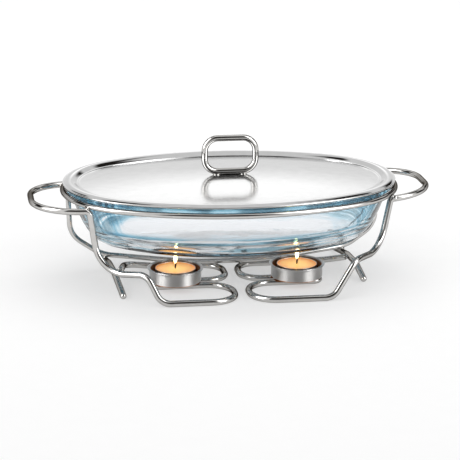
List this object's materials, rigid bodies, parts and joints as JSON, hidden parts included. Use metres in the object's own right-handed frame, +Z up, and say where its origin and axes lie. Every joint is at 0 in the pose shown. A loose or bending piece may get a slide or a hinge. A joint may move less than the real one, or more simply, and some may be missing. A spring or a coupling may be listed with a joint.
{
  "type": "food warmer",
  "caption": "Oval glass food warmer: a glass dish with a lift-off polished steel lid in a welded wire stand with tealight cups and carrying handles.",
  "frame": {"origin": "centre of the bounding box at the table plane", "axes": "+X along the long axis of the oval from handle to handle, +Y towards the back (the candle cups are on the -Y side), +Z up"},
  "size_m": [0.387, 0.219, 0.1353],
  "materials": {
    "chromed_wire": "bright chrome",
    "mirror_steel": "mirror polished",
    "polished_steel": "polished",
    "clear_glass": "clear",
    "candle_tray": "bright",
    "wax": "soft, slightly translucent",
    "wick": "charred cotton"
  },
  "bodies": {
    "stand": {"top_ring": "chromed_wire", "left_end_wire": "chromed_wire", "right_end_wire": "chromed_wire", "cradle_wire": "chromed_wire", "left_foot_bar": "chromed_wire", "right_foot_bar": "chromed_wire", "left_candle_cup": "polished_steel", "right_candle_cup": "polished_steel"},
    "dish": {"glass_dish": "clear_glass"},
    "lid": {"lid": "mirror_steel", "lid_handle": "chromed_wire"},
    "left_candle": {"left_candle_tray": "candle_tray", "left_candle_wax": "wax", "left_wick_sustainer": "candle_tray", "left_candle_wick": "wick"},
    "right_candle": {"right_candle_tray": "candle_tray", "right_candle_wax": "wax", "right_wick_sustainer": "candle_tray", "right_candle_wick": "wick"}
  },
  "joints": [
    {"name": "dish_lift", "type": "slide", "parent": "stand", "child": "dish", "axis": [0, 0, 1], "range_m": [0, 0.15]},
    {"name": "lid_lift", "type": "slide", "parent": "dish", "child": "lid", "axis": [0, 0, 1], "range_m": [0, 0.12]},
    {"name": "left_candle_lift", "type": "slide", "parent": "stand", "child": "left_candle", "axis": [0, 0, 1], "range_m": [0, 0.013]},
    {"name": "right_candle_lift", "type": "slide", "parent": "stand", "child": "right_candle", "axis": [0, 0, 1], "range_m": [0, 0.013]}
  ]
}
